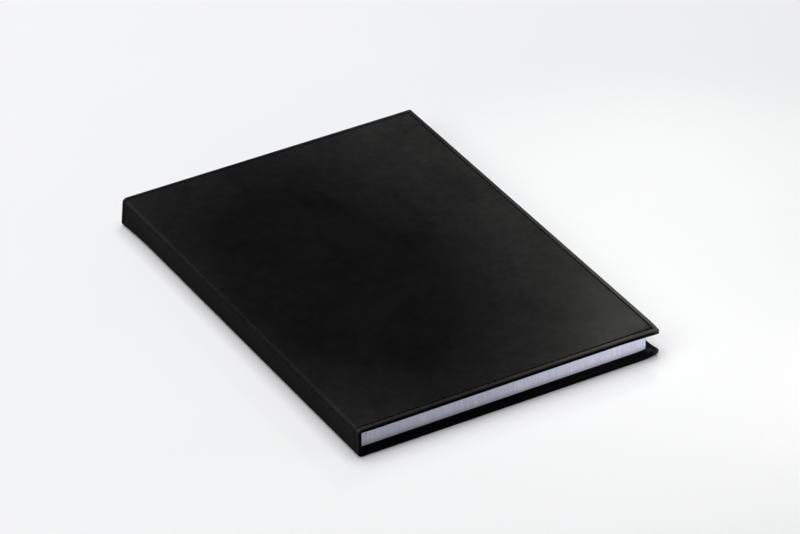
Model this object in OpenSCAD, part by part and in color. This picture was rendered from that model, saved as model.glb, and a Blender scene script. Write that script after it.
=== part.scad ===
// Leather-covered notebook, lying closed on its back cover.
// X runs from the spine to the fore-edge, Y from tail to head and Z up through the leaves.
// The origin is on the underside, at the middle of the closed notebook. Sizes are in millimetres.

/* [Paper] */
// Width of a leaf, from fold to fore-edge
page_w = 148; // [120:1:170]
// Length of a leaf, from tail to head
page_l = 210; // [170:1:240]
// Thickness of one leaf
leaf_t = 0.1; // [0.08:0.01:0.14]
// Leaves in one folded section
section_leaves = 8; // [6:2:12]
// Sections sewn into the block
section_count = 12; // [6:1:16]
// Thickness of the flyleaf at each end of the block
flyleaf_t = 0.15; // [0.1:0.01:0.25]
// Air between one section and the next
leaf_gap = 0.01; // [0.01:0.01:0.04]

/* [Cover] */
// Thickness of the leather
leather_t = 1; // [0.8:0.05:1.3]
// Thickness of the stiffening card in each cover
card_t = 0.8; // [0.5:0.05:1.5]
// Thickness of the lining sheet, and of the leather where it is pared and turned in
lining_t = 0.35; // [0.2:0.05:0.6]
// Width of the leather turned in round the card
turn_in = 12; // [8:0.5:16]
// Overhang of the covers past the leaves at head and tail
square_ends = 4.3; // [3:0.1:6]
// Overhang of the covers past the leaves at the fore-edge
square_fore = 4.6; // [3:0.1:6]
// Rounding along the edges of the covers
edge_r = 0.5; // [0.4:0.05:0.9]
// Radius of the covers' corners, seen from above
corner_r = 1; // [0.8:0.1:4]

/* [Spine] */
// Radius of the long edges of the spine
spine_r = 2; // [1.6:0.1:3.5]
// Width beside the spine where the covers hold no card, so that they can bend
hinge_w = 8; // [5:0.5:12]
// Thickness of the leather turned in at the ends of the spine
spine_turn_t = 0.9; // [0.5:0.05:1]
// Thickness of the gauze glued along the folds
gauze_t = 0.4; // [0.2:0.05:0.6]
// How far the gauze stops short of the turned-in leather
gauze_short = 2; // [1:0.5:10]

/* [Sewing] */
// Distance of the stitch line from the edges of the case
stitch_inset = 2.4; // [2:0.1:4.5]
// Distance from one stitch to the next
stitch_pitch = 3.2; // [3:0.1:6]
// Length of one stitch
stitch_l = 2.5; // [1.5:0.1:2.9]
// Diameter of the stitching thread
stitch_d = 0.44; // [0.3:0.02:0.6]
// Width of the groove that the stitches lie in
groove_w = 0.8; // [0.7:0.05:1.2]
// Diameter of the thread that sews the sections
sewing_d = 0.5; // [0.3:0.05:0.7]
// Length of one sewing run over the back of a fold
sewing_l = 14; // [8:1:20]
// Sewing runs along each fold
sewing_runs = 5; // [3:1:6]

/* [Fits] */
// Clearance round the card, the lining, the gauze and the sewing thread
fit = 0.05; // [0.02:0.01:0.1]
// Clearance under and over a stitch in its groove
stitch_fit = 0.03; // [0.02:0.01:0.05]

/* [Hidden] */
$fn = 48;
// Overrun of a cut past the face that it opens
cut = 1;
cover_t = leather_t + card_t + lining_t;
section_t = section_leaves * leaf_t;
block_z = cover_t + leaf_gap;
front_flyleaf_z = section_z(section_count + 1);
case_h = front_flyleaf_z + flyleaf_t + leaf_gap + cover_t;
spine_gap = leather_t + gauze_t + sewing_d + 3 * fit;
case_w = spine_gap + page_w + square_fore;
case_l = page_l + 2 * square_ends;
spine_x = -case_w / 2;
fore_x = case_w / 2;
hinge_x = spine_x + spine_r;
// Height above which the spine's inside is flat and clear of the covers
inner_z = max(spine_r, cover_t + fit);
page_x = spine_x + spine_gap;
groove_d = stitch_d + 2 * stitch_fit;
stitch_y = case_l / 2 - stitch_inset;
gauze_l = case_l - 2 * turn_in - 2 * gauze_short;
card_colour = "#8a7a66";
leather_colour = "#1d1d1f";
thread_colour = "#0c0c0d";
paper_colour = "#e9ebf2";
endpaper_colour = "#161617";

function two_digits(k) = k < 10 ? str("0", k) : str(k);
function section_name(k) = str("section_", two_digits(k));
function sewing_name(k) = str("sewing_", two_digits(k));
// Underside of a section, counted up from the back cover
function section_z(k) = block_z + flyleaf_t + leaf_gap + (k - 1) * (section_t + leaf_gap);

// Extrudes an outline drawn in X and Z along Y, centred
module along_y(l) {
    rotate([90, 0, 0]) linear_extrude(l, center = true) children();
}

// Extrudes an outline drawn in Y and Z along X, from x_low
module along_x(x_low, l) {
    translate([x_low, 0, 0]) rotate([90, 0, 90]) linear_extrude(l) children();
}

// Rectangle with four round corners, from its low corner
module round_rect(low, size, r) {
    translate(low + [r, 0]) square([size[0] - 2 * r, size[1]]);
    translate(low + [0, r]) square([size[0], size[1] - 2 * r]);
    for (x = [r, size[0] - r])
        for (y = [r, size[1] - r])
            translate(low + [x, y]) circle(r);
}

// Turns a cover that lies with its outer face at Z = 0 over on to the top of the block
module on_top() {
    translate([0, 0, case_h]) mirror([0, 0, 1]) children();
}

// Thread of one stitch along Z, with its ends drawn in
module stitch(l, d) {
    rotate_extrude()
        polygon([
            [0, -l / 2], [d / 4, -l / 2], [d / 2, -l / 2 + d / 2],
            [d / 2, l / 2 - d / 2], [d / 4, l / 2], [0, l / 2]
        ]);
}

// Row of stitches along X from x_low, spread evenly over the length
module stitch_row(x_low, l) {
    n = floor(l / stitch_pitch);
    for (i = [0:n - 1])
        translate([x_low + (i + 0.5) * l / n, 0, groove_d - stitch_fit - stitch_d / 2])
            rotate([0, 90, 0]) stitch(stitch_l, stitch_d);
}

// Outer form of a cover from the hinge line to the fore-edge, with all its edges rounded
module cover_form() {
    over = corner_r + edge_r;
    intersection() {
        along_y(case_l) round_rect([hinge_x - over, 0], [fore_x - hinge_x + over, cover_t], edge_r);
        along_x(hinge_x, fore_x - hinge_x)
            round_rect([-case_l / 2, 0], [case_l, cover_t], edge_r);
        linear_extrude(cover_t)
            round_rect([hinge_x - over, -case_l / 2], [fore_x - hinge_x + over, case_l], corner_r);
    }
}

// Groove for the stitches along head, fore-edge and tail of a cover
module cover_groove() {
    row_l = fore_x - stitch_inset + groove_w / 2 - hinge_x + cut;
    for (y = [-stitch_y, stitch_y])
        translate([hinge_x - cut, y - groove_w / 2, -cut]) cube([row_l, groove_w, groove_d + cut]);
    translate([fore_x - stitch_inset - groove_w / 2, -stitch_y, -cut])
        cube([groove_w, 2 * stitch_y, groove_d + cut]);
}

// Leather of a cover: the outer sheet, folded round the card and turned in on three sides
module cover_leather() {
    color(leather_colour) difference() {
        cover_form();
        translate([hinge_x - cut, -case_l / 2 + leather_t, leather_t])
            cube([fore_x - leather_t - hinge_x + cut, case_l - 2 * leather_t, card_t]);
        translate([hinge_x - cut, -case_l / 2 + turn_in, leather_t])
            cube([fore_x - turn_in - hinge_x + cut, case_l - 2 * turn_in, cover_t]);
        cover_groove();
    }
}

// Stiffening card of a cover, in the pocket of the leather
module cover_card() {
    low = spine_x + hinge_w;
    high = fore_x - leather_t - fit;
    width = case_l - 2 * leather_t - 2 * fit;
    color(card_colour) translate([low, -width / 2, leather_t]) cube([high - low, width, card_t]);
}

// Lining sheet of a cover, flush with the turned-in leather
module cover_lining() {
    low = hinge_x + fit;
    high = fore_x - turn_in - fit;
    width = case_l - 2 * turn_in - 2 * fit;
    color(endpaper_colour)
        translate([low, -width / 2, cover_t - lining_t]) cube([high - low, width, lining_t]);
}

// Stitches round head, fore-edge and tail of a cover
module cover_stitching() {
    color(thread_colour) {
        for (y = [-stitch_y, stitch_y])
            translate([0, y, 0]) stitch_row(hinge_x, fore_x - stitch_inset - hinge_x);
        translate([fore_x - stitch_inset, 0, 0]) rotate([0, 0, 90])
            stitch_row(-stitch_y, 2 * stitch_y);
    }
}

module front_cover_leather() { on_top() cover_leather(); }
module front_card() { on_top() cover_card(); }
module front_lining() { on_top() cover_lining(); }
module front_stitching() { on_top() cover_stitching(); }
module back_cover_leather() { cover_leather(); }
module back_card() { cover_card(); }
module back_lining() { cover_lining(); }
module back_stitching() { cover_stitching(); }

// Cross-section of the spine up to the hinge lines, drawn in by an inset
module spine_outline(inset) {
    r = spine_r - inset;
    translate([spine_x + inset, spine_r]) square([r, case_h - 2 * spine_r]);
    for (z = [spine_r, case_h - spine_r])
        intersection() {
            translate([hinge_x, z]) circle(r);
            translate([spine_x, 0]) square([spine_r, case_h]);
        }
}

// Outer form of the spine, with its ends rounded like the covers' edges
module spine_form() {
    over = 2 * edge_r;
    intersection() {
        along_y(case_l) spine_outline(0);
        along_x(spine_x, spine_r) round_rect([-case_l / 2, 0], [case_l, case_h], edge_r);
        linear_extrude(case_h)
            round_rect([spine_x, -case_l / 2], [spine_r + over, case_l], edge_r);
    }
}

// Leather of the spine, turned in at both ends and grooved for the stitches
module spine_leather() {
    turn_h = case_h - 2 * inner_z;
    color(leather_colour) {
        difference() {
            spine_form();
            along_y(case_l + cut) spine_outline(leather_t);
            for (y = [-stitch_y, stitch_y])
                translate([0, y, 0]) along_y(groove_w) difference() {
                    translate([spine_x - cut, -cut]) square([spine_r + cut, case_h + 2 * cut]);
                    spine_outline(groove_d);
                }
        }
        for (side = [-1, 1])
            translate([
                spine_x + leather_t,
                side * (case_l - turn_in - edge_r) / 2 - (turn_in - edge_r) / 2,
                inner_z
            ])
                cube([spine_turn_t, turn_in - edge_r, turn_h]);
    }
}

// Stitches across the spine near its head and tail
module spine_stitching() {
    run = case_h - 2 * spine_r;
    color(thread_colour)
        for (y = [-stitch_y, stitch_y])
            translate([spine_x, y, spine_r]) rotate([90, -90, 90]) stitch_row(0, run);
}

// Gauze glued along the folds, between the turned-in ends of the spine leather
module spine_gauze() {
    flat_h = case_h - 2 * inner_z;
    color("#cfc8b8")
        translate([spine_x + leather_t + fit, -gauze_l / 2, inner_z]) cube([gauze_t, gauze_l, flat_h]);
}

module flyleaf(z) {
    color(endpaper_colour) translate([page_x, -page_l / 2, z]) cube([page_w, page_l, flyleaf_t]);
}

module front_flyleaf() { flyleaf(front_flyleaf_z); }
module back_flyleaf() { flyleaf(block_z); }

// One folded section: its leaves as a block, round at the fold
module section(k) {
    r = section_t / 2;
    color(paper_colour) translate([page_x, 0, section_z(k)]) along_y(page_l) {
        translate([r, 0]) square([page_w - r, section_t]);
        translate([r, r]) circle(r);
    }
}

// Sewing thread over the back of one section's fold
module sewing(k) {
    spacing = (gauze_l - sewing_l) / (sewing_runs - 1);
    color("#e4e0d6")
        for (i = [0:sewing_runs - 1])
            translate([
                page_x - fit - sewing_d / 2,
                (i - (sewing_runs - 1) / 2) * spacing,
                section_z(k) + section_t / 2
            ])
                rotate([90, 0, 0]) stitch(sewing_l, sewing_d);
}

front_cover_leather();
front_card();
front_lining();
front_stitching();
back_cover_leather();
back_card();
back_lining();
back_stitching();
spine_leather();
spine_stitching();
spine_gauze();
front_flyleaf();
back_flyleaf();
for (k = [1:section_count]) section(k);
for (k = [1:section_count]) sewing(k);
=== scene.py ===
"""Looks of the leather notebook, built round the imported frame.

X runs from the spine to the fore-edge, Y from tail to head and Z up through the leaves.
Lengths are in metres and angles in degrees.
"""

import math
import random

import bmesh
import bpy
from mathutils import Matrix, Quaternion, Vector


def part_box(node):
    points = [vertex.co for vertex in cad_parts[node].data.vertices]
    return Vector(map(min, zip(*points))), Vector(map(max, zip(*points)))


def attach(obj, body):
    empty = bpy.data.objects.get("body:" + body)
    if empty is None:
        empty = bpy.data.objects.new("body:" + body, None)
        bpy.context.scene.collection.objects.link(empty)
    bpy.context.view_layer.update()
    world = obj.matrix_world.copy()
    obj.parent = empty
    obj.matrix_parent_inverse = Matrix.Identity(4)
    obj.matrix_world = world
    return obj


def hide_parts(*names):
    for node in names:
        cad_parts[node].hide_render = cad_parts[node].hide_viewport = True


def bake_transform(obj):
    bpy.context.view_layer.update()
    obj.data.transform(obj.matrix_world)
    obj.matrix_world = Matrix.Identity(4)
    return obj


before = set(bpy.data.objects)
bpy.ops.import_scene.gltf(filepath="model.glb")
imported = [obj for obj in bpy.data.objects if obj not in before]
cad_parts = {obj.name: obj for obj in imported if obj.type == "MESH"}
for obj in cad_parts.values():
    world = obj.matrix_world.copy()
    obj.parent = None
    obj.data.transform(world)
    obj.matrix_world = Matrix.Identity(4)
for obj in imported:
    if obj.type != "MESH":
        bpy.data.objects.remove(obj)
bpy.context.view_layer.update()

# Sizes read off the frame
mm = 0.001
spine_low, spine_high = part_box("spine_leather")
front_low, front_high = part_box("front_cover_leather")
card_low, card_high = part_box("front_card")
lining_low, lining_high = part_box("front_lining")
thread_low, thread_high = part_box("front_stitching")
gauze_low, gauze_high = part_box("spine_gauze")
page_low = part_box("section_01")[0]
sections = sorted(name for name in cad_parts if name.startswith("section_"))
spine_x = spine_low.x
hinge_x = spine_high.x
fore_x = front_high.x
half_l = front_high.y
case_h = front_high.z
cover_t = case_h - front_low.z
leather_t = case_h - card_high.z
card_t = card_high.z - card_low.z
lining_t = lining_high.z - lining_low.z
spine_r = hinge_x - spine_x
spine_flat = case_h - 2 * spine_r
bend_x = card_low.x
thread_d = thread_high.z - thread_low.z
stitch_x = thread_high.x - thread_d / 2
stitch_y = thread_high.y - thread_d / 2

# Leather case: its turned-in edges, rounds and stitch groove, pressed in by steps of width and depth
turn_in = 12 * mm
corner_r = 1 * mm
edge_r = 0.5 * mm
groove_w = 0.8 * mm
groove_lip = 0.25 * mm
groove_steps = ((0.06 * mm, 0.05 * mm), (0.08 * mm, 0.25 * mm), (0.1 * mm, 0.15 * mm))
spine_rim = 1.9 * mm
spine_seam = 0.06 * mm

# How finely the leather is cut, and what counts as touching, level or creased
tiny = 0.001 * mm
facing = 0.99
crease_angle = 40
hinge_cuts = 18
slice_cuts = 3
corner_segments = 8
edge_segments = 5
arc_steps = 16

# Corners at fore-edge and tail, curled in towards the leaves: how far, and its reach along X and Y
curl_steps = 6
curl_power = 1.5
front_curl = (0.75 * mm, 22 * mm, 8 * mm)
back_curl = (1.4 * mm, 8.8 * mm, 8.8 * mm)

# Foot of the spine, which stands out at the head: how far, and its reach down from the head
flare = 1.3 * mm
flare_reach = 24 * mm
flare_steps = 6
flare_power = 1.5

# Tones of the hide: its middle, a painted sheen that pales it towards the edges of the case, and its worn
# tips
hide_dark = (0.0064, 0.0064, 0.0064)
hide_painted_sheen = (0.0225, 0.0222, 0.0216)
hide_worn = (0.07, 0.046, 0.040)
wear_reach = 4 * mm
sheen_shift = (0.255, 0, 0)
sheen_scale = (9.8, 5.7, 0)
sheen_fade = 0.58

# Shares of these tones: painted shade in the groove, on the upright edges, the inside faces and the spine's
# flat, and painted highlights on the margins, along the spine's long edge and near the fore-edge and tail
# corner
groove_shade = 0.1
far_margin_sheen = 1.1
near_margin_sheen = 2.4
upright_shade = 0.08
inside_shade = 0.3
spine_shade = 0.4
spine_edge_highlight = 0.85
corner_sheen = 0.3
corner_sheen_reach = 14 * mm

# Stitching and sewing
stitch_pitch = 3.2 * mm
stitch_l = 2.5 * mm
stitch_depth = 0.25 * mm
stitch_sides = 8
stitch_rings = 7
stitch_twist = 0.6 * mm
stitch_black = (0.016, 0.016, 0.0155)
stitch_shade = (0.008, 0.008, 0.008)
sewing_twist = 1.0 * mm
sewing_pale = (0.72, 0.69, 0.62)
sewing_shade = (0.5, 0.47, 0.41)

# Leaves of each section, in bundles, with their trim and paper colours
leaves_in_section = 8
leaves_in_bundle = 2
leaf_sliver = 0.006 * mm
leaf_trim = 0.05 * mm
leaf_cuts = 12
paper_seed = 7
paper_shade = (0.80, 0.82, 0.87)
paper_white = (0.85, 0.865, 0.90)

# Trimmed edges of the leaves, with painted shade on the lowest leaves and towards the fold
edge_shade = (0.63, 0.635, 0.77)
edge_white = (0.705, 0.705, 0.82)
edge_streak = (0.47, 0.48, 0.63)
edge_painted_shade = 0.72
shade_height = 2.4 * mm
shade_from = -20 * mm
shade_to = 55 * mm

# Linings, flyleaves, card and gauze
gutter_gap = 0.3 * mm
lining_r = 0.08 * mm
lining_segments = 2
flyleaf_r = 1.5 * mm
flyleaf_segments = 3
lining_black = (0.011, 0.011, 0.0115)
lining_grey = (0.016, 0.0158, 0.016)
card_brown = (0.19, 0.15, 0.11)
card_pale = (0.30, 0.25, 0.19)
gauze_weave = 3 * mm
gauze_glue = (0.42, 0.38, 0.31)
gauze_cotton = (0.66, 0.62, 0.54)

# Camera that took the picture, worked out from the edges of the case
camera_place = Vector((-0.9292, -1.6140, 1.2278))
camera_aim = Vector((0.0092, 0.0028, 0.007))
camera_roll = 0.411
camera_lens = 220.7
camera_sensor = 36
camera_reach = 20

# Studio: a pale floor, and walls that are white up to one angle and dim above another
floor_radius = 6
floor_sides = 96
floor_shade = (0.93, 0.93, 0.935)
floor_pale = (0.945, 0.945, 0.95)
wall_white = (1, 1, 1)
wall_dim = (0.08, 0.08, 0.084)
wall_foot = 4
wall_top = 18
lamp_white = (0.993, 0.996, 1)

# Levels at which the spine is sliced: near the ends of its flat and at the middles of the inner sections
section_mid = [(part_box(name)[0].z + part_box(name)[1].z) / 2 for name in sections]
spine_levels = [spine_r + spine_seam] + section_mid[1:-1] + [case_h - spine_r - spine_seam]


# Mesh helpers

def everything(bm):
    return bm.verts[:] + bm.edges[:] + bm.faces[:]


def parts_of(faces):
    """The faces with their edges and corners, as the cutting operator wants them."""
    edges = {e for f in faces for e in f.edges}
    verts = {v for f in faces for v in f.verts}
    return list(verts) + list(edges) + list(faces)


def cut(bm, point, normal, faces=None, drop=False):
    """Cuts the mesh, or some of its faces, with a plane. Can drop the side that the normal points to."""
    geom = everything(bm) if faces is None else parts_of(faces)
    bmesh.ops.bisect_plane(
        bm, geom=geom, dist=tiny / 10, plane_co=point, plane_no=normal, clear_outer=drop
    )


def round_edges(bm, edges, radius, segments):
    bmesh.ops.bevel(
        bm, geom=edges, offset=radius, offset_type="OFFSET", segments=segments,
        profile=0.5, affect="EDGES", material=-1, clamp_overlap=False
    )


def add_box(bm, low, high):
    """Adds a box between two corners."""
    place = Matrix.Translation((low + high) / 2) @ Matrix.Diagonal((*(high - low), 1))
    bmesh.ops.create_cube(bm, size=1, matrix=place)


def rise(edge):
    """How far an edge climbs from one end to the other."""
    return abs(edge.verts[0].co.z - edge.verts[1].co.z)


def extrude(bm, faces, move):
    """Pushes a group of faces out by a move and gives the moved faces back."""
    made = bmesh.ops.extrude_face_region(bm, geom=faces)["geom"]
    bmesh.ops.translate(bm, vec=move, verts=[g for g in made if isinstance(g, bmesh.types.BMVert)])
    bmesh.ops.delete(bm, geom=[f for f in faces if f.is_valid], context="FACES_ONLY")
    return [g for g in made if isinstance(g, bmesh.types.BMFace)]


def close_up(bm):
    """Fills the openings that cuts have left and turns all faces outwards."""
    open_edges = [e for e in bm.edges if e.is_boundary]
    bmesh.ops.holes_fill(bm, edges=open_edges, sides=0)
    bmesh.ops.recalc_face_normals(bm, faces=bm.faces)


def flip_over(bm):
    """Turns a piece of the front over to the back of the case."""
    over = Matrix.Translation((0, 0, case_h)) @ Matrix.Diagonal((1, 1, -1, 1))
    bmesh.ops.transform(bm, matrix=over, verts=bm.verts)
    bmesh.ops.reverse_faces(bm, faces=bm.faces)


def slice_between(source, low, high):
    """The part of a mesh between two levels, closed, with loops to bend at."""
    bm = source.copy()
    cut(bm, (0, 0, high), (0, 0, 1), drop=True)
    cut(bm, (0, 0, low), (0, 0, -1), drop=True)
    close_up(bm)
    for step in range(1, slice_cuts):
        cut(bm, (0, 0, low + (high - low) * step / slice_cuts), (0, 0, 1))
    return bm


def share(value):
    """A value held between 0 and 1."""
    return min(max(value, 0), 1)


def piece(name, bm, materials, nodes):
    """Makes the object of a piece, and hides the CAD nodes that it takes the place of."""
    mesh = bpy.data.meshes.new(name)
    bm.to_mesh(mesh)
    bm.free()
    for material in materials:
        mesh.materials.append(material)
    mesh.shade_smooth()
    mesh.set_sharp_from_angle(angle=math.radians(crease_angle))
    obj = bpy.data.objects.new(name, mesh)
    bpy.context.scene.collection.objects.link(obj)
    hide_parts(*nodes)
    return obj


# Node helpers for the materials

def new_material(name):
    material = bpy.data.materials.new(name)
    material.use_nodes = True
    tree = material.node_tree
    return material, tree, tree.nodes["Principled BSDF"]


def feed(tree, socket, value):
    """Links a socket to another node, or sets it."""
    if isinstance(value, bpy.types.NodeSocket):
        tree.links.new(value, socket)
    else:
        socket.default_value = value


def add_node(tree, kind, **inputs):
    """Adds a node and sets or links its inputs, named with _ for a space."""
    made = tree.nodes.new(kind)
    for key, value in inputs.items():
        feed(tree, made.inputs[key.replace("_", " ")], value)
    return made


def object_coords(tree, scale=(1, 1, 1)):
    """Object coordinates, stretched where a pattern runs one way."""
    coords = add_node(tree, "ShaderNodeTexCoord").outputs["Object"]
    return add_node(tree, "ShaderNodeMapping", Vector=coords, Scale=scale).outputs["Vector"]


def attribute(tree, name):
    made = tree.nodes.new("ShaderNodeAttribute")
    made.attribute_name = name
    return made


def noise(tree, coords, size, detail=3):
    """Noise whose patches are about as wide as size."""
    made = add_node(tree, "ShaderNodeTexNoise", Vector=coords, Scale=1 / size, Detail=detail)
    return made.outputs["Fac"]


def spread(tree, value, low, high, start=0.3, stop=0.7):
    """Maps a factor from start..stop to low..high."""
    made = add_node(
        tree, "ShaderNodeMapRange", Value=value, From_Min=start, From_Max=stop, To_Min=low, To_Max=high
    )
    return made.outputs["Result"]


def mix_colours(tree, factor, first, second):
    """A colour between two others, which are written out or come from nodes."""
    made = tree.nodes.new("ShaderNodeMix")
    made.data_type = "RGBA"
    tree.links.new(factor, made.inputs[0])
    for socket, colour in ((made.inputs[6], first), (made.inputs[7], second)):
        feed(tree, socket, (*colour, 1) if isinstance(colour, tuple) else colour)
    return made.outputs[2]


def two_tone(tree, coords, first, second, size, detail):
    """A colour that drifts between two tones in soft patches."""
    patches = noise(tree, coords, size, detail)
    return mix_colours(tree, spread(tree, patches, 0, 1), first, second)


def scaled(tree, colour, factor):
    """A colour made darker or paler by a factor."""
    made = tree.nodes.new("ShaderNodeVectorMath")
    made.operation = "SCALE"
    tree.links.new(colour, made.inputs[0])
    tree.links.new(factor, made.inputs["Scale"])
    return made.outputs["Vector"]


def bump(tree, height, depth, strength, below=None):
    """Relief of a given depth, on top of the relief below it."""
    made = add_node(tree, "ShaderNodeBump", Height=height, Distance=depth, Strength=strength)
    if below is not None:
        tree.links.new(below, made.inputs["Normal"])
    return made.outputs["Normal"]


def dress(tree, shader, colour, relief, roughness, gloss=0.5):
    """Gives a shader its colour and relief, and its roughness and gloss on its own sockets."""
    tree.links.new(colour, shader.inputs["Base Color"])
    if relief is not None:
        tree.links.new(relief, shader.inputs["Normal"])
    shader.inputs["Roughness"].default_value = roughness
    shader.inputs["Specular IOR Level"].default_value = gloss


# Materials

def leather_colour(tree, coords, clouds):
    """Black hide with a painted sheen that pales it towards the edges of the case, cloudy and smudged,
    darkened and lightened by the painted shade and highlights kept on each point, with worn tips.
    """
    place = add_node(tree, "ShaderNodeMapping", Vector=coords, Location=sheen_shift, Scale=sheen_scale)
    middle = add_node(tree, "ShaderNodeTexGradient", Vector=place.outputs["Vector"])
    middle.gradient_type = "SPHERICAL"
    # Painted sheen that pales the hide towards the edges of the case
    sheen_share = spread(tree, middle.outputs["Fac"], low=1, high=0, start=0, stop=sheen_fade)
    smudges = noise(tree, coords, size=22 * mm, detail=3)
    mottle = noise(tree, coords, size=4 * mm, detail=4)
    with_sheen = mix_colours(tree, sheen_share, hide_dark, hide_painted_sheen)
    cloudy = scaled(tree, with_sheen, spread(tree, clouds, low=0.88, high=1.12))
    smudged = scaled(tree, cloudy, spread(tree, smudges, low=0.84, high=1, start=0.35, stop=0.5))
    mottled = scaled(tree, smudged, spread(tree, mottle, low=0.86, high=1.14))
    # Painted shade and highlights kept on each point of the leather
    with_painted_light = scaled(tree, mottled, attribute(tree, "painted_light").outputs["Fac"])
    return mix_colours(tree, attribute(tree, "wear").outputs["Fac"], with_painted_light, hide_worn)


def leather_material():
    """Satin black hide with a fine pebbled grain, which keeps its place where the leather bends."""
    material, tree, shader = new_material("leather")
    coords = attribute(tree, "rest").outputs["Vector"]
    clouds = noise(tree, coords, size=38 * mm, detail=4)
    pores = noise(tree, coords, size=0.35 * mm, detail=2)
    grain = add_node(tree, "ShaderNodeTexVoronoi", Vector=coords, Scale=1 / (0.55 * mm))
    waves = bump(tree, clouds, depth=0.25 * mm, strength=0.5)
    creases = bump(tree, pores, depth=0.01 * mm, strength=0.4, below=waves)
    pebbles = bump(tree, grain.outputs["Distance"], depth=0.012 * mm, strength=0.35, below=creases)
    colour = leather_colour(tree, coords, clouds)
    dress(tree, shader, colour, pebbles, roughness=0.24, gloss=0.0055)
    return material


def thread_material(name, colour, shade, twist):
    """Waxed thread, with the twist of its plies across the run, and painted shade in the hollows between
    the plies.
    """
    material, tree, shader = new_material(name)
    coords = object_coords(tree)
    wave = add_node(tree, "ShaderNodeTexWave", Vector=coords, Scale=1 / twist, Distortion=1.5)
    plies = wave.outputs["Fac"]
    fibres = noise(tree, coords, size=0.1 * mm)
    lay = bump(tree, plies, depth=0.04 * mm, strength=0.7)
    fuzz = bump(tree, fibres, depth=0.01 * mm, strength=0.4, below=lay)
    dress(tree, shader, mix_colours(tree, plies, shade, colour), fuzz, roughness=0.6, gloss=0.03)
    return material


def paper_material():
    """Face of a leaf: smooth bluish-white stock with a trace of fibre."""
    material, tree, shader = new_material("paper")
    coords = object_coords(tree)
    white = two_tone(tree, coords, paper_shade, paper_white, size=9 * mm, detail=5)
    fibre = noise(tree, coords, size=0.5 * mm, detail=4)
    relief = bump(tree, fibre, depth=0.015 * mm, strength=0.3)
    dress(tree, shader, white, relief, roughness=0.75, gloss=0.2)
    return material


def paper_edge_material():
    """Trimmed edges of the leaves: streaked by the blade, with painted shade on the lowest leaves and near
    the fold.
    """
    material, tree, shader = new_material("paper_edge")
    blade = noise(tree, object_coords(tree, scale=(1, 1, 0.06)), size=0.7 * mm)
    stretched = object_coords(tree, scale=(1, 1, 0.1))
    pale = two_tone(tree, stretched, edge_shade, edge_white, size=6 * mm, detail=3)
    streaked = mix_colours(tree, spread(tree, blade, low=0, high=0.85), pale, edge_streak)
    place = add_node(tree, "ShaderNodeSeparateXYZ", Vector=object_coords(tree))
    # Painted shade on the lowest leaves and towards the fold
    lowest = spread(tree, place.outputs["Z"], edge_painted_shade, 1, page_low.z, page_low.z + shade_height)
    near_fold = spread(tree, place.outputs["X"], edge_painted_shade, 1, shade_from, shade_to)
    shaded = scaled(tree, scaled(tree, streaked, lowest), near_fold)
    relief = bump(tree, blade, depth=0.03 * mm, strength=0.4)
    dress(tree, shader, shaded, relief, roughness=0.8, gloss=0.15)
    return material


def endpaper_material():
    """Matt black lining paper with a fine tooth."""
    material, tree, shader = new_material("endpaper")
    coords = object_coords(tree)
    black = two_tone(tree, coords, lining_black, lining_grey, size=14 * mm, detail=5)
    tooth = noise(tree, coords, size=0.3 * mm, detail=4)
    relief = bump(tree, tooth, depth=0.03 * mm, strength=0.4)
    dress(tree, shader, black, relief, roughness=0.7, gloss=0.3)
    return material


def card_material():
    """Grey-brown pulp card."""
    material, tree, shader = new_material("card")
    coords = object_coords(tree)
    flecks = noise(tree, coords, size=0.8 * mm, detail=6)
    colour = mix_colours(tree, spread(tree, flecks, low=0, high=1), card_brown, card_pale)
    relief = bump(tree, flecks, depth=0.05 * mm, strength=0.5)
    dress(tree, shader, colour, relief, roughness=0.9)
    return material


def gauze_material():
    """Glued cotton gauze: an open weave with glue between the threads."""
    material, tree, shader = new_material("gauze")
    coords = object_coords(tree)
    weave = add_node(tree, "ShaderNodeMath")
    weave.operation = "MAXIMUM"
    for socket, run in zip(weave.inputs, ("Y", "Z")):
        threads = add_node(tree, "ShaderNodeTexWave", Vector=coords, Scale=1 / gauze_weave)
        threads.bands_direction = run
        tree.links.new(threads.outputs["Fac"], socket)
    woven = weave.outputs["Value"]
    relief = bump(tree, woven, depth=0.1 * mm, strength=0.7)
    dress(tree, shader, mix_colours(tree, woven, gauze_glue, gauze_cotton), relief, roughness=0.9)
    return material


# Leather case

def outer_faces(bm):
    bm.normal_update()
    return [f for f in bm.faces if f.normal.z > facing and f.calc_center_median().z > case_h - tiny]


def inner_faces(bm):
    bm.normal_update()
    inner_z = case_h - cover_t
    return [f for f in bm.faces if f.normal.z < -facing and f.calc_center_median().z < inner_z + tiny]


def rounded_slab():
    """The front cover's outer form, with a spare length past the hinge line."""
    bm = bmesh.new()
    spare = 2 * turn_in
    add_box(bm, Vector((hinge_x - spare, -half_l, case_h - cover_t)), Vector((fore_x, half_l, case_h)))
    corners = [e for e in bm.edges if rise(e) > tiny and e.verts[0].co.x > fore_x - tiny]
    round_edges(bm, corners, corner_r, corner_segments)
    level = [e for e in bm.edges if rise(e) < tiny]
    round_edges(bm, level, edge_r, edge_segments)
    return bm


def press_groove(bm):
    """Presses the stitch groove into the outer face along head, fore-edge and tail."""
    half_w = groove_w / 2
    for offset in (-half_w - groove_lip, -half_w, half_w, half_w + groove_lip):
        cut(bm, (stitch_x + offset, 0, 0), (1, 0, 0), outer_faces(bm))
        for side in (-1, 1):
            cut(bm, (0, side * (stitch_y + offset), 0), (0, 1, 0), outer_faces(bm))

    def within(point, offset):
        return point.x < stitch_x + offset and abs(point.y) < stitch_y + offset

    groove = []
    for face in outer_faces(bm):
        centre = face.calc_center_median()
        if within(centre, half_w) and not within(centre, -half_w):
            groove.append(face)
    for width, depth in groove_steps:
        bmesh.ops.inset_region(bm, faces=groove, thickness=width, depth=-depth, use_even_offset=True)


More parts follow.
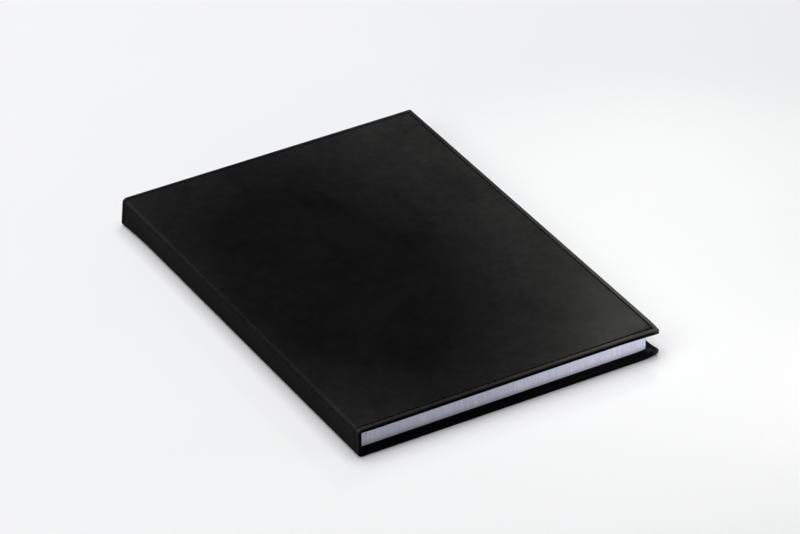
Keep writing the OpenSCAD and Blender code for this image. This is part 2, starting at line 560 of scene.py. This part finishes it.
def fold_in(bm):
    """Opens the inner face: the turned-in flap round three sides, and the pocket of the card behind it."""
    flap_x = fore_x - turn_in
    flap_y = half_l - turn_in
    cut(bm, (flap_x, 0, 0), (1, 0, 0), inner_faces(bm))
    for side in (-1, 1):
        cut(bm, (0, side * flap_y, 0), (0, 1, 0), inner_faces(bm))
    window = []
    for face in inner_faces(bm):
        centre = face.calc_center_median()
        if centre.x < flap_x and abs(centre.y) < flap_y:
            window.append(face)
    raised = extrude(bm, window, Vector((0, 0, lining_t)))
    behind = extrude(bm, raised, Vector())
    for vert in {v for f in behind for v in f.verts}:
        if abs(vert.co.y) > flap_y - tiny:
            vert.co.y = math.copysign(half_l - leather_t, vert.co.y)
        if vert.co.x > flap_x - tiny:
            vert.co.x = fore_x - leather_t
    extrude(bm, behind, Vector((0, 0, card_t)))


def towards_hinge(x):
    """How far a place has come from the card's edge to the hinge line, 0 to 1."""
    return share((bend_x - x) / (bend_x - hinge_x))


def hinge_places():
    """Places between the hinge line and the card's edge where the leather and lining can bend."""
    return [hinge_x + (bend_x - hinge_x) * step / hinge_cuts for step in range(hinge_cuts + 1)]


def thin_rim(bm):
    """Pares the turned-in rim towards the hinge line, so that it stays clear of the folds."""
    pared = 1 - (spine_rim - leather_t) / (cover_t - leather_t)
    for vert in bm.verts:
        depth = case_h - vert.co.z
        if depth > leather_t + tiny:
            vert.co.z += (depth - leather_t) * pared * towards_hinge(vert.co.x)


def wrap_spine(bm):
    """Carries the cover's cross-section round the spine's long edge and down its flat."""
    cut(bm, (hinge_x, 0, 0), (-1, 0, 0), drop=True)
    for x in hinge_places()[1:]:
        cut(bm, (x, 0, 0), (1, 0, 0))
    thin_rim(bm)
    rim = [e for e in bm.edges if e.is_boundary]
    rim_verts = list({v for e in rim for v in e.verts})
    turned = bmesh.ops.spin(
        bm, geom=rim_verts + rim, cent=(hinge_x, 0, case_h - spine_r), axis=(0, 1, 0),
        angle=-math.pi / 2, steps=arc_steps
    )
    last = [g for g in turned["geom_last"] if isinstance(g, bmesh.types.BMEdge)]
    down = bmesh.ops.extrude_edge_only(bm, edges=last)["geom"]
    drop = Vector((0, 0, spine_seam - spine_flat))
    bmesh.ops.translate(bm, vec=drop, verts=[g for g in down if isinstance(g, bmesh.types.BMVert)])


def flare_spine(bm):
    """Pushes the foot of the spine out towards the head end."""
    for vert in bm.verts:
        along = share(1 - (half_l - vert.co.y) / flare_reach)
        down = 1 - vert.co.z / case_h
        vert.co.x -= flare * along**flare_power * down * towards_hinge(vert.co.x)


def case_leather():
    """Front half of the case: cover, spine edge and the spine's flat down to the lower seam."""
    bm = rounded_slab()
    press_groove(bm)
    fold_in(bm)
    wrap_spine(bm)
    for step in range(1, flare_steps + 1):
        hinge = [f for f in bm.faces if f.calc_center_median().x < bend_x]
        cut(bm, (0, half_l - flare_reach * step / flare_steps, 0), (0, 1, 0), hinge)
    return bm


def corner_share(point, reach_x, reach_y):
    """How near a point is to the corner at fore-edge and tail: 0 where the reach ends, 1 at the tip."""
    return max(1 - (fore_x - point.x) / reach_x - (point.y + half_l) / reach_y, 0)


def cut_for_curl(bm, reach_x, reach_y):
    """Cuts across the corner of a front piece, so that it can bend."""
    for step in range(curl_steps):
        start = fore_x - reach_x * (1 - step / curl_steps)
        cut(bm, (start, -half_l, 0), (1 / reach_x, -1 / reach_y, 0))


def curl_corner(bm, amount, reach_x, reach_y):
    """Bends the corner of a front piece in towards the leaves."""
    for vert in bm.verts:
        vert.co.z -= amount * corner_share(vert.co, reach_x, reach_y) ** curl_power


def skin_depth(point):
    """How far a point lies under the outer face of the case, measured square to that face."""
    height = min(point.z, case_h - point.z)
    if point.x < hinge_x and height < spine_r:
        return spine_r - math.hypot(hinge_x - point.x, spine_r - height)
    return min(height, point.x - spine_x)


def edge_colour(point):
    """Painted light on the edge: a painted sheen on the margin, strongest towards the corner of fore-edge
    and tail, and painted shade on the upright face and the inside.
    """
    depth = skin_depth(point)
    if depth < edge_r:
        away = math.hypot(fore_x - point.x, half_l + point.y) / (2 * half_l)
        margin = near_margin_sheen + (far_margin_sheen - near_margin_sheen) * min(away, 1)
        return margin + (upright_shade - margin) * math.sqrt(max(depth / edge_r, 0))
    inside = share((depth - cover_t) / edge_r + 1)
    return upright_shade + (inside_shade - upright_shade) * inside


def spine_colour(point, edge_highlight):
    """Painted light round the spine: unchanged at the hinge line, a painted highlight on the long edge and
    painted shade on the flat.
    """
    past = share((hinge_x - point.x) / spine_r)
    return 1 + (spine_shade - 1) * past**2 + edge_highlight * math.sin(2 * math.asin(past)) ** 2


def mark_skin(bm, edge_highlight):
    """Keeps each point's place at rest, its wear, and its painted light and shade: painted shade in the
    groove, on the upright faces, the inside and the spine's flat, and painted highlights on the margin,
    near the fore-edge and tail corner and along the spine's long edge.
    """
    rest = bm.verts.layers.float_vector.new("rest")
    painted_light = bm.verts.layers.float.new("painted_light")
    wear = bm.verts.layers.float.new("wear")
    half_w = groove_w / 2
    for vert in bm.verts:
        vert[rest] = vert.co
        vert[wear] = corner_share(vert.co, wear_reach, wear_reach) ** 2
        past = max(abs(vert.co.y) - stitch_y, vert.co.x - stitch_x)
        outside = skin_depth(vert.co) < edge_r + tiny
        if outside and past < -half_w + tiny:
            vert[painted_light] = 1
        elif outside and past < half_w - tiny:
            # Painted shade in the groove
            vert[painted_light] = groove_shade
        else:
            # Painted sheen near the corner of fore-edge and tail
            with_corner_sheen = 1 + corner_sheen * corner_share(vert.co, corner_sheen_reach, corner_sheen_reach)
            vert[painted_light] = edge_colour(vert.co) * with_corner_sheen
        vert[painted_light] *= spine_colour(vert.co, edge_highlight)


def ride_spine(obj, index):
    """Bakes the place of a slice of the spine into its mesh."""
    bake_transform(obj)


def ride_front(obj):
    """Bakes the place of a front piece into its mesh."""
    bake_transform(obj)


def ride_back(obj):
    """Bakes the place of a back piece into its mesh."""
    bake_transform(obj)


def spine_slices(bm):
    """Slices a piece of the spine at its levels, each slice with its number."""
    for index in range(len(spine_levels) - 1):
        yield index, slice_between(bm, spine_levels[index], spine_levels[index + 1])


def make_case(material):
    leather = case_leather()
    for index, strip in spine_slices(leather):
        # Painted shade on the spine's flat
        mark_skin(strip, spine_edge_highlight)
        flare_spine(strip)
        name = f"spine_leather_{index + 1:02d}"
        ride_spine(piece(name, strip, [material], ["spine_leather"]), index)
    front = leather.copy()
    leather.free()
    cut(front, (0, 0, spine_levels[-1]), (0, 0, -1), drop=True)
    close_up(front)
    back = front.copy()
    # The front gets the painted highlight along the spine's upper edge; the back's lower edge gets none
    for cover, curl, edge_highlight in ((front, front_curl, spine_edge_highlight), (back, back_curl, 0)):
        cut_for_curl(cover, *curl[1:])
        mark_skin(cover, edge_highlight)
        curl_corner(cover, *curl)
    flip_over(back)
    flare_spine(front)
    flare_spine(back)
    front_nodes = ["front_cover_leather", "spine_leather"]
    back_nodes = ["back_cover_leather", "spine_leather"]
    ride_front(piece("front_leather", front, [material], front_nodes))
    ride_back(piece("back_leather", back, [material], back_nodes))


# Stitching

def add_stitch(bm, centre, along):
    """One stitch, drawn in at its ends where it goes into the leather."""
    turn = Vector((0, 0, 1)).rotation_difference(along).to_matrix().to_4x4()
    place = Matrix.Translation(centre) @ turn @ Matrix.Diagonal((thread_d, thread_d, stitch_l, 1))
    bmesh.ops.create_uvsphere(
        bm, u_segments=stitch_sides, v_segments=stitch_rings, radius=0.5, matrix=place
    )


def add_stitch_row(bm, start, end):
    """Stitches in a row, as many as the pitch allows, spaced evenly."""
    run = end - start
    count = math.floor(run.length / stitch_pitch)
    for index in range(count):
        add_stitch(bm, start + run * (index + 0.5) / count, run)


def cover_stitches():
    bm = bmesh.new()
    level = case_h - stitch_depth
    for side in (-stitch_y, stitch_y):
        add_stitch_row(bm, Vector((hinge_x, side, level)), Vector((stitch_x, side, level)))
    add_stitch_row(bm, Vector((stitch_x, -stitch_y, level)), Vector((stitch_x, stitch_y, level)))
    return bm


def round_the_spine(point):
    """Lays a point that runs past the hinge line at the cover's level round the spine instead."""
    past = hinge_x - point.x
    radius = spine_r - (case_h - point.z)
    arc = spine_r * math.pi / 2
    if past < arc:
        turn = past / spine_r
        height = case_h - spine_r + radius * math.cos(turn)
        return Vector((hinge_x - radius * math.sin(turn), point.y, height))
    if past < arc + spine_flat:
        return Vector((hinge_x - radius, point.y, case_h - spine_r - (past - arc)))
    turn = (past - arc - spine_flat) / spine_r
    return Vector((hinge_x - radius * math.cos(turn), point.y, spine_r - radius * math.sin(turn)))


def spine_stitches():
    bm = bmesh.new()
    length = spine_r * math.pi + spine_flat
    level = case_h - stitch_depth
    for side in (-stitch_y, stitch_y):
        add_stitch_row(bm, Vector((hinge_x, side, level)), Vector((hinge_x - length, side, level)))
    for vert in bm.verts:
        vert.co = round_the_spine(vert.co)
    flare_spine(bm)
    return bm


def thread_piece(name, bm, material, node):
    return piece(name, bm, [material], [node])


def make_stitching(material):
    front = cover_stitches()
    back = front.copy()
    curl_corner(front, *front_curl)
    curl_corner(back, *back_curl)
    flip_over(back)
    ride_front(thread_piece("front_thread", front, material, "front_stitching"))
    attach(thread_piece("back_thread", back, material, "back_stitching"), "back_cover")
    spine = spine_stitches()
    for index, part in spine_slices(spine):
        if part.verts:
            name = f"spine_thread_{index + 1:02d}"
            ride_spine(thread_piece(name, part, material, "spine_stitching"), index)
        else:
            part.free()
    top = slice_between(spine, spine_levels[-1], case_h)
    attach(thread_piece("spine_thread_top", top, material, "spine_stitching"), sections[-1])
    bottom = slice_between(spine, 0, spine_levels[0])
    ride_back(thread_piece("spine_thread_bottom", bottom, material, "spine_stitching"))
    spine.free()


# Lining, flyleaves and gauze

def make_linings(material):
    """Lining sheets, each carried into the gutter to meet its flyleaf."""
    bm = bmesh.new()
    add_box(bm, Vector((page_low.x + gutter_gap, lining_low.y, lining_low.z)), lining_high)
    level = [e for e in bm.edges if rise(e) < tiny]
    round_edges(bm, level, lining_r, lining_segments)
    for x in hinge_places():
        cut(bm, (x, 0, 0), (1, 0, 0))
    back = bm.copy()
    flip_over(back)
    ride_front(piece("front_lining_sheet", bm, [material], ["front_lining"]))
    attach(piece("back_lining_sheet", back, [material], ["back_lining"]), "back_cover")


def make_flyleaves(material):
    for name, body in (("front_flyleaf", sections[-1]), ("back_flyleaf", sections[0])):
        bm = bmesh.new()
        add_box(bm, *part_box(name))
        upright = [e for e in bm.edges if rise(e) > tiny]
        round_edges(bm, upright, flyleaf_r, flyleaf_segments)
        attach(piece(f"{name}_sheet", bm, [material], [name]), body)


def make_gauze(material):
    bm = bmesh.new()
    add_box(bm, gauze_low, gauze_high)
    for index, strip in spine_slices(bm):
        ride_spine(piece(f"gauze_{index + 1:02d}", strip, [material], ["spine_gauze"]), index)
    bm.free()


# Leaves

def fold_inset(height, thickness):
    """How far a leaf at this height in its section lies back from the round of the fold."""
    radius = thickness / 2
    return radius - math.sqrt(max(radius**2 - (height - radius) ** 2, 0))


def leaf_bundle(low, high, first, trim):
    """A few leaves of a section from the first one on, each trimmed a little unevenly."""
    bm = bmesh.new()
    thickness = high.z - low.z
    step = thickness / leaves_in_section
    for leaf in range(first, first + leaves_in_bundle):
        back = fold_inset((leaf + 0.5) * step, thickness)
        corner = Vector((low.x + back, low.y + trim.uniform(0, leaf_trim), low.z + leaf * step))
        far = Vector((high.x, high.y, low.z + (leaf + 1) * step - leaf_sliver))
        far -= Vector((trim.uniform(0, leaf_trim), trim.uniform(0, leaf_trim), 0))
        add_box(bm, corner, far)
    for place in range(1, leaf_cuts):
        cut(bm, (low.x + (high.x - low.x) * place / leaf_cuts, 0, 0), (1, 0, 0))
    bm.normal_update()
    for face in bm.faces:
        face.material_index = 0 if abs(face.normal.z) > facing else 1
    return bm


def ride_fan(obj, number):
    """Bakes the place of a bundle of leaves into its mesh."""
    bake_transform(obj)


def make_leaves(face_material, edge_material):
    """Leaves in small bundles, section by section."""
    trim = random.Random(paper_seed)
    bundles = leaves_in_section // leaves_in_bundle
    for number, name in enumerate(sections):
        low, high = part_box(name)
        for bundle in range(bundles):
            bm = leaf_bundle(low, high, bundle * leaves_in_bundle, trim)
            label = f"leaves_{number + 1:02d}_{bundle + 1}"
            obj = piece(label, bm, [face_material, edge_material], [name])
            ride_fan(obj, number)


# Studio

def make_floor():
    bm = bmesh.new()
    bmesh.ops.create_circle(bm, cap_ends=True, segments=floor_sides, radius=floor_radius)
    mesh = bpy.data.meshes.new("floor")
    bm.to_mesh(mesh)
    bm.free()
    material, tree, shader = new_material("floor")
    grain = noise(tree, object_coords(tree), size=60 * mm, detail=2)
    pale = mix_colours(tree, grain, floor_shade, floor_pale)
    dress(tree, shader, pale, None, roughness=0.9, gloss=0)
    mesh.materials.append(material)
    floor = bpy.data.objects.new("floor", mesh)
    bpy.context.scene.collection.objects.link(floor)


def add_softbox(name, place, aim, size, power, colour=lamp_white, beam=180):
    light = bpy.data.lights.new(name, "AREA")
    light.shape = "RECTANGLE"
    light.size, light.size_y = size
    light.energy = power
    light.color = colour
    light.spread = math.radians(beam)
    obj = bpy.data.objects.new(name, light)
    obj.location = place
    obj.rotation_mode = "QUATERNION"
    obj.rotation_quaternion = (Vector(aim) - Vector(place)).to_track_quat("-Z", "Y")
    obj.visible_camera = False
    bpy.context.scene.collection.objects.link(obj)


def make_lamps():
    """A low lamp on the leaves, a small one for the sheen of the near corner, and two soft ones."""
    add_softbox(
        "near", place=(0.30, -0.30, 0.022), aim=(0.02, -0.105, 0.095), size=(0.1, 0.03),
        power=0.156, colour=(1, 0.99, 0.97), beam=60
    )
    add_softbox(
        "glow", place=(0.285, 0.202, 0.265), aim=(0.08, -0.11, 0.014), size=(0.05, 0.05),
        power=0.036, colour=(1, 1, 0.92), beam=60
    )
    add_softbox("overhead", place=(0.15, 0.55, 1.8), aim=(0.15, 0.48, 0), size=(1.8, 1.8), power=30.4)
    add_softbox("fill", place=(-1.2, -0.2, 1.1), aim=(0, 0, 0), size=(1, 1), power=8.2)


def make_world():
    """A studio that is white behind the floor and dim higher up."""
    world = bpy.data.worlds.new("studio")
    bpy.context.scene.world = world
    world.use_nodes = True
    tree = world.node_tree
    direction = add_node(tree, "ShaderNodeTexCoord").outputs["Generated"]
    height = add_node(tree, "ShaderNodeSeparateXYZ", Vector=direction).outputs["Z"]
    foot = math.sin(math.radians(wall_foot))
    top = math.sin(math.radians(wall_top))
    above = spread(tree, height, low=0, high=1, start=foot, stop=top)
    walls = mix_colours(tree, above, wall_white, wall_dim)
    background = tree.nodes["Background"]
    tree.links.new(walls, background.inputs["Color"])
    background.inputs["Strength"].default_value = 1


def make_camera():
    data = bpy.data.cameras.new("camera")
    data.sensor_width = camera_sensor
    data.lens = camera_lens
    data.clip_end = camera_reach
    camera = bpy.data.objects.new("camera", data)
    look = camera_aim - camera_place
    level = look.to_track_quat("-Z", "Y")
    camera.rotation_mode = "QUATERNION"
    camera.rotation_quaternion = Quaternion(look.normalized(), math.radians(camera_roll)) @ level
    camera.location = camera_place
    bpy.context.scene.collection.objects.link(camera)
    bpy.context.scene.camera = camera


def refinish(obj, material):
    """Gives a CAD node its finished material."""
    obj.data.materials.clear()
    obj.data.materials.append(material)


# The notebook in its studio
make_camera()
make_world()
make_floor()
make_lamps()
make_case(leather_material())
make_stitching(thread_material("stitching_thread", stitch_black, stitch_shade, stitch_twist))
black_paper = endpaper_material()
make_linings(black_paper)
make_flyleaves(black_paper)
make_gauze(gauze_material())
make_leaves(paper_material(), paper_edge_material())
linen = thread_material("sewing_thread", sewing_pale, sewing_shade, sewing_twist)
pulp = card_material()
for name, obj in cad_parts.items():
    if name.startswith("sewing_"):
        refinish(obj, linen)
    elif name.endswith("_card"):
        refinish(obj, pulp)

bpy.context.scene.view_settings.view_transform = "Standard"
